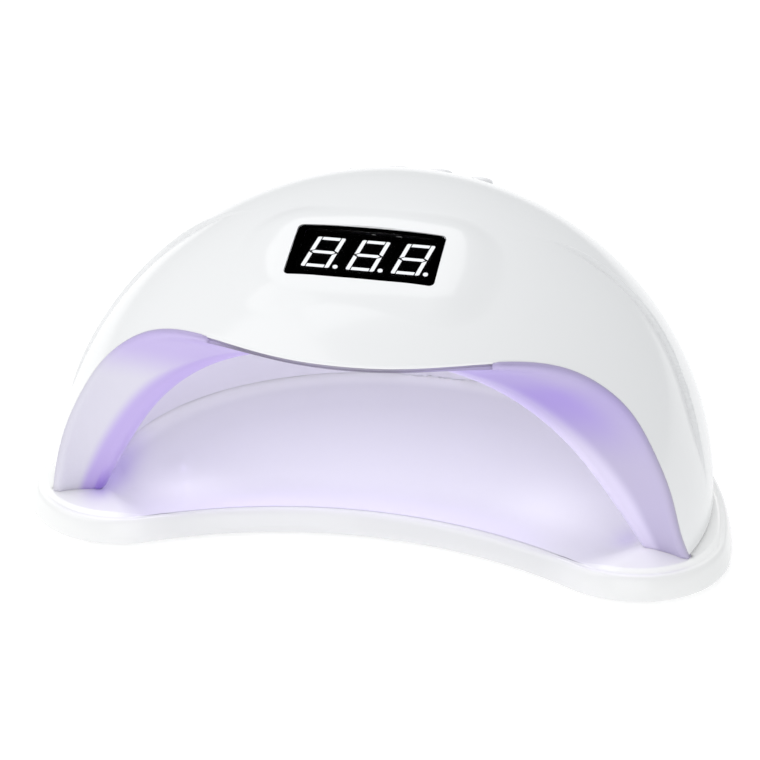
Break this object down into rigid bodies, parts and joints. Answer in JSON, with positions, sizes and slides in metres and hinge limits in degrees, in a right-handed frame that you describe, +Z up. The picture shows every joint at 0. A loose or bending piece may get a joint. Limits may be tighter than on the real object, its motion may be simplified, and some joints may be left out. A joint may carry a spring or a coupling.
{
  "type": "led nail lamp",
  "caption": "Dome-shaped curing lamp with an arched front mouth, a timer display, push buttons on top and a lift-off base tray.",
  "frame": {"origin": "middle of the footprint, on the table the rubber feet stand on", "axes": "+X to the lamp's right as seen from its mouth, +Y to the back, +Z up"},
  "size_m": [0.2106, 0.1538, 0.0997],
  "materials": {
    "white_shell": "injection-moulded, high gloss",
    "white_liner": "injection-moulded, gloss, reflective",
    "white_tray": "injection-moulded, gloss",
    "white_ring": "moulded, satin",
    "white_button": "moulded, gloss",
    "smoked_window": "smoked acrylic, polished",
    "display_case": "black, matt",
    "display_light": "diffusing, lit white",
    "board_green": "solder resist",
    "strip_white": "white solder resist",
    "switch_black": "moulded",
    "chip_black": "epoxy",
    "can_aluminium": "drawn can",
    "coil_ferrite": "ferrite",
    "led_yellow": "phosphor and silicone",
    "lens_clear": "clear silicone lens",
    "sensor_dark": "infrared-pass plastic",
    "jack_black": "moulded, fine texture",
    "plated_metal": "nickel plated",
    "magnet_nickel": "nickel plated",
    "screw_steel": "zinc plated",
    "post_nylon": "nylon",
    "foot_rubber": "matt",
    "lead_sleeve": "PVC insulation",
    "lead_sleeve_grey": "PVC insulation"
  },
  "bodies": {
    "base_tray": {"tray_top": "white_tray", "tray_bottom_plate": "white_ring", "rubber_feet": "foot_rubber", "tray_magnets": "magnet_nickel", "tray_screws": "screw_steel"},
    "lamp_head": {"outer_housing": "white_shell", "inner_liner": "white_liner", "led_lenses": "lens_clear", "led_chips": "led_yellow", "led_strip_front": "strip_white", "led_strip_middle": "strip_white", "led_strip_rear": "strip_white", "bottom_ring": "white_ring", "head_magnets": "magnet_nickel", "ring_screws": "screw_steel", "display_window": "smoked_window", "display_module": "display_case", "lit_segments": "display_light", "display_board": "board_green", "control_board": "board_green", "tact_switches": "switch_black", "microcontroller": "chip_black", "control_capacitors": "can_aluminium", "board_standoffs": "post_nylon", "driver_board": "board_green", "power_inductors": "coil_ferrite", "driver_capacitors": "can_aluminium", "power_transistors": "chip_black", "hand_sensor": "sensor_dark", "power_jack": "jack_black", "jack_centre_pin": "plated_metal", "jack_nut": "plated_metal", "power_leads": "lead_sleeve", "board_leads": "lead_sleeve_grey"},
    "button_10s": {"button_10s": "white_button"},
    "button_30s": {"button_30s": "white_button"},
    "button_60s": {"button_60s": "white_button"},
    "button_99s": {"button_99s": "white_button"}
  },
  "joints": [
    {"name": "head_lift", "type": "slide", "parent": "base_tray", "child": "lamp_head", "axis": [0, 0, 1], "range_m": [0, 0.09]},
    {"name": "press_10s", "type": "slide", "parent": "lamp_head", "child": "button_10s", "axis": [0, -0.527, -0.8499], "range_m": [0, 0.0008], "stiffness_N_per_m": 900, "springref_m": -0.0008},
    {"name": "press_30s", "type": "slide", "parent": "lamp_head", "child": "button_30s", "axis": [0, -0.527, -0.8499], "range_m": [0, 0.0008], "stiffness_N_per_m": 900, "springref_m": -0.0008},
    {"name": "press_60s", "type": "slide", "parent": "lamp_head", "child": "button_60s", "axis": [0, -0.527, -0.8499], "range_m": [0, 0.0008], "stiffness_N_per_m": 900, "springref_m": -0.0008},
    {"name": "press_99s", "type": "slide", "parent": "lamp_head", "child": "button_99s", "axis": [0, -0.527, -0.8499], "range_m": [0, 0.0008], "stiffness_N_per_m": 900, "springref_m": -0.0008}
  ]
}
